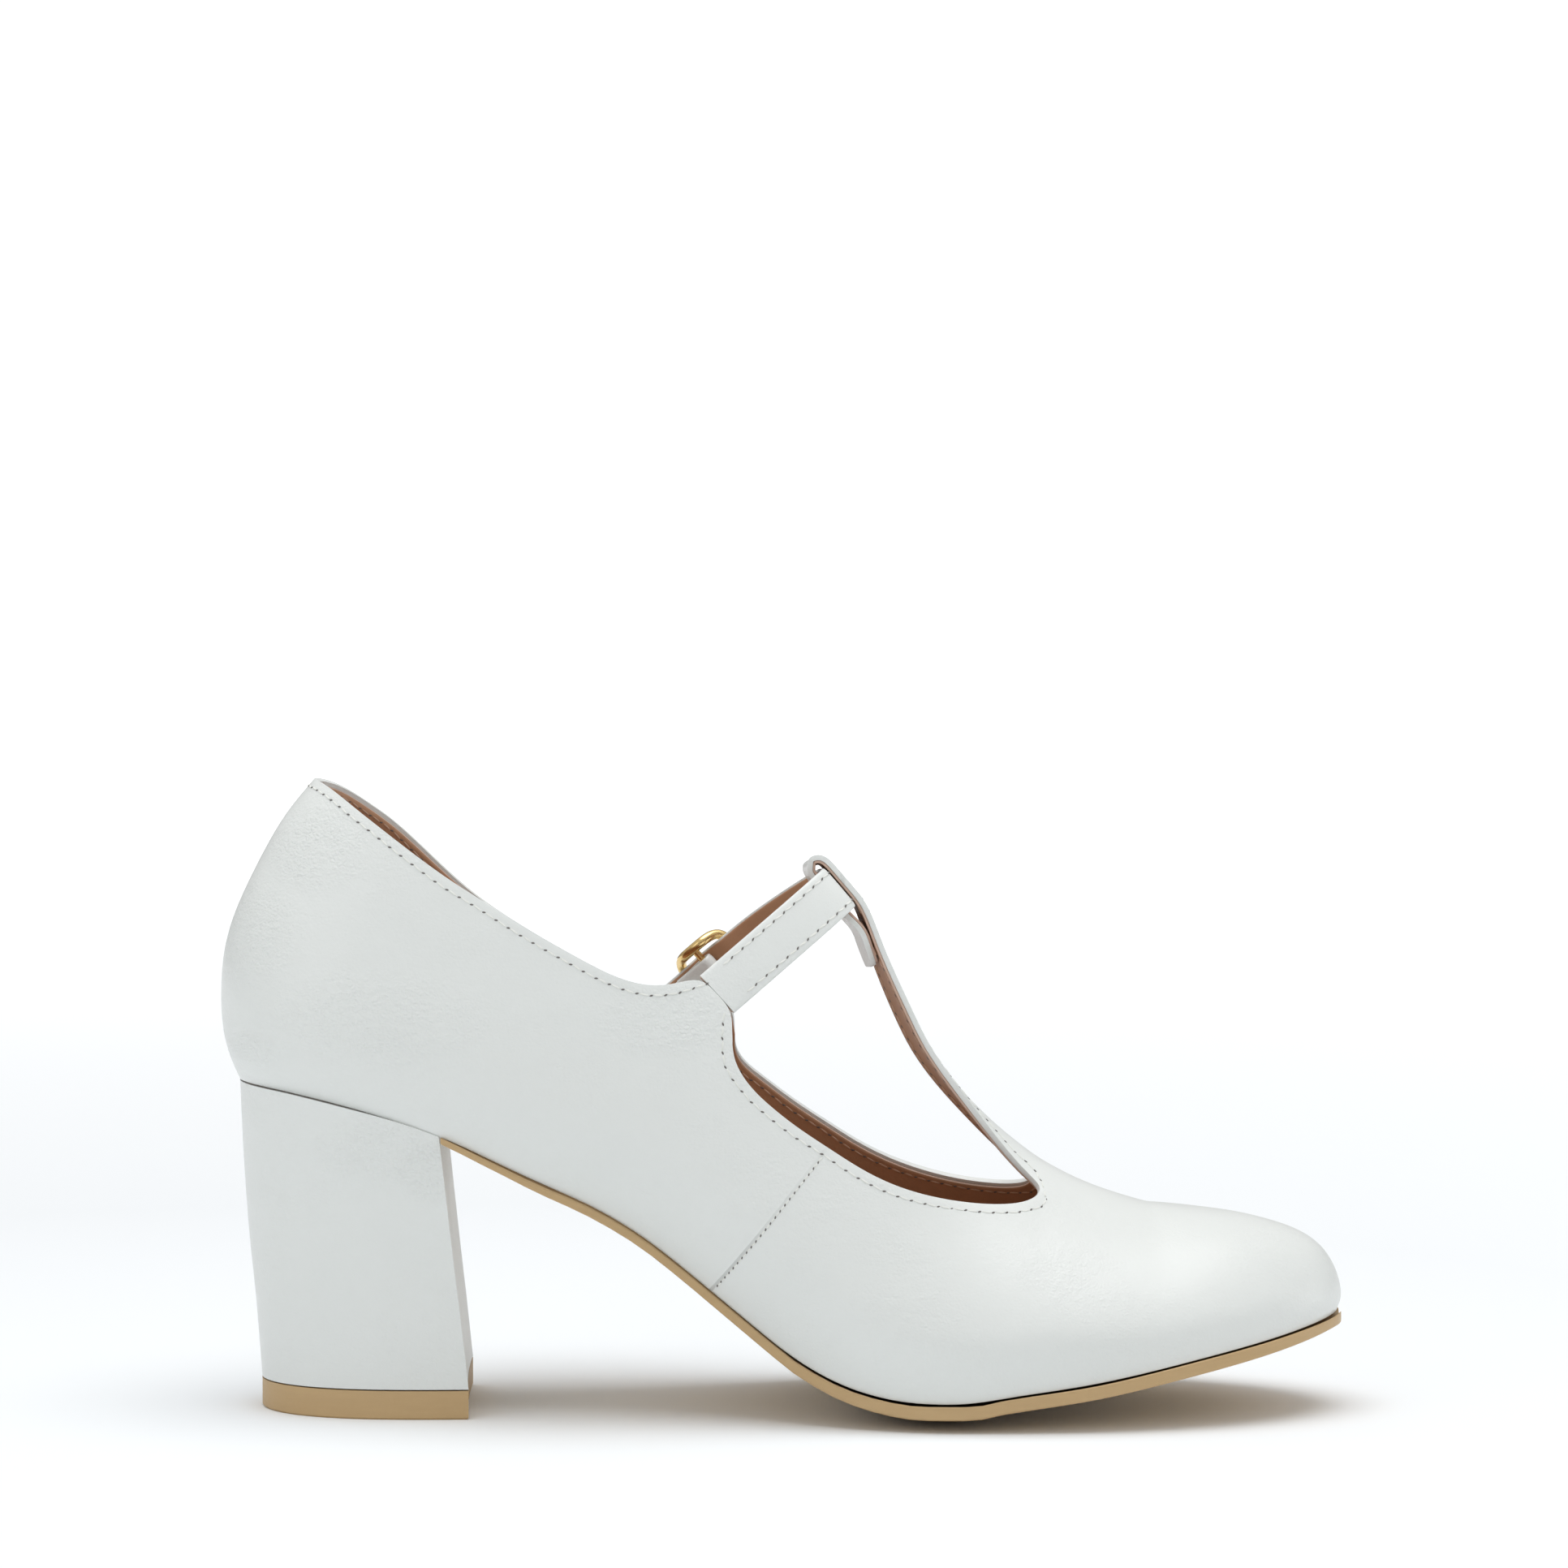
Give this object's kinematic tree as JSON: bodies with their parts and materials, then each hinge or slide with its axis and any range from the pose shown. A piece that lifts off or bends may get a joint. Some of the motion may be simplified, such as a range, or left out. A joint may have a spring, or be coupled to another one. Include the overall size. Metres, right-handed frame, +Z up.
{
  "type": "T-strap block-heel shoe, left",
  "caption": "Left women's T-strap pump in white leather: block heel, tan outsole, brown lining, buckled instep strap through a looped T-strap.",
  "frame": {"origin": "middle of the ground face of the heel's top lift, on the floor", "axes": "+X along the shoe to the toe, +Y to the outer (lateral) side, +Z up"},
  "size_m": [0.2378, 0.0812, 0.1331],
  "materials": {
    "white_leather": "satin",
    "tan_outsole": "satin",
    "brown_insole": "matte",
    "heel_cover": "satin",
    "tan_top_lift": "matte",
    "strap_leather": "satin",
    "tab_leather": "satin",
    "gold_metal": "polished",
    "gold_prong": "polished"
  },
  "bodies": {
    "root": {"upper": "white_leather", "outsole": "tan_outsole", "insole": "brown_insole", "heel": "heel_cover", "top_lift": "tan_top_lift", "instep_strap": "strap_leather", "buckle_tab": "tab_leather", "buckle_frame": "gold_metal", "buckle_prong": "gold_prong"}
  },
  "joints": []
}
